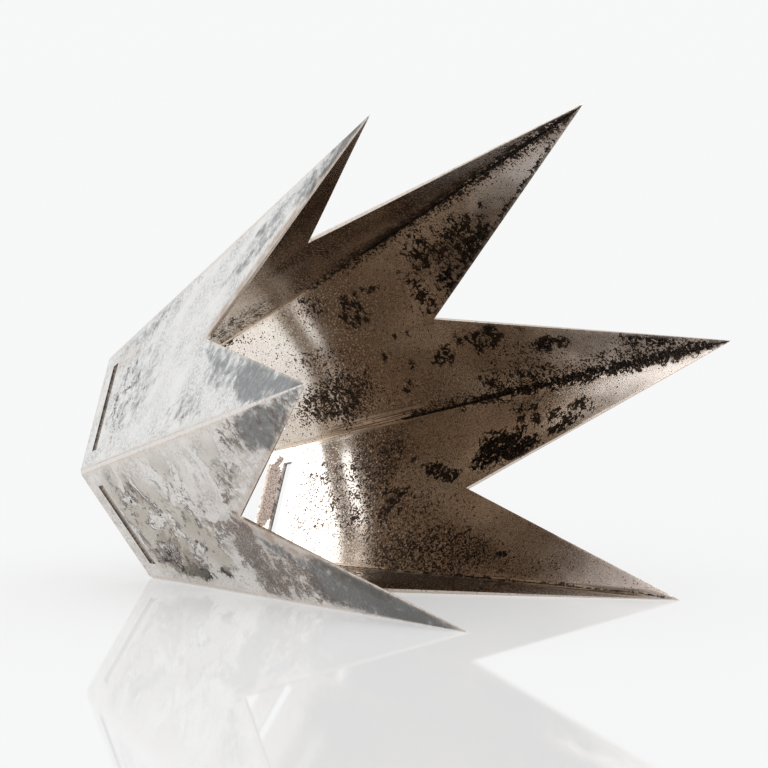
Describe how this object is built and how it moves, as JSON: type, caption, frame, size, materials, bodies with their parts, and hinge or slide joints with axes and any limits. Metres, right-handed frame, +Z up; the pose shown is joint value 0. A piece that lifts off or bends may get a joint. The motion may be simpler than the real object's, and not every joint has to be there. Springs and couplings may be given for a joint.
{
  "type": "desk sculpture",
  "caption": "Hexagonal crown of tarnished silver sheet lying on one side: slotted panels with deep V cuts form a ring of spikes, soldered along the ridges, open at both ends.",
  "frame": {"origin": "bottom centre of the bounding box, on the surface that the object lies on", "axes": "+Z up, the resting panel lies on z = 0; +X along that panel from the narrow open end to the spikes; +Y to the rear"},
  "size_m": [0.1136, 0.108, 0.0908],
  "materials": {
    "silver": "tarnished polished silver with dark spots and streaks",
    "solder": "worn bright silver solder"
  },
  "bodies": {
    "root": {"panel_base": "silver", "panel_rear_lower": "silver", "panel_rear_upper": "silver", "panel_top": "silver", "panel_front_upper": "silver", "panel_front_lower": "silver", "seam_rear_base": "solder", "seam_rear": "solder", "seam_rear_top": "solder", "seam_front_top": "solder", "seam_front": "solder", "seam_front_base": "solder"}
  },
  "joints": []
}
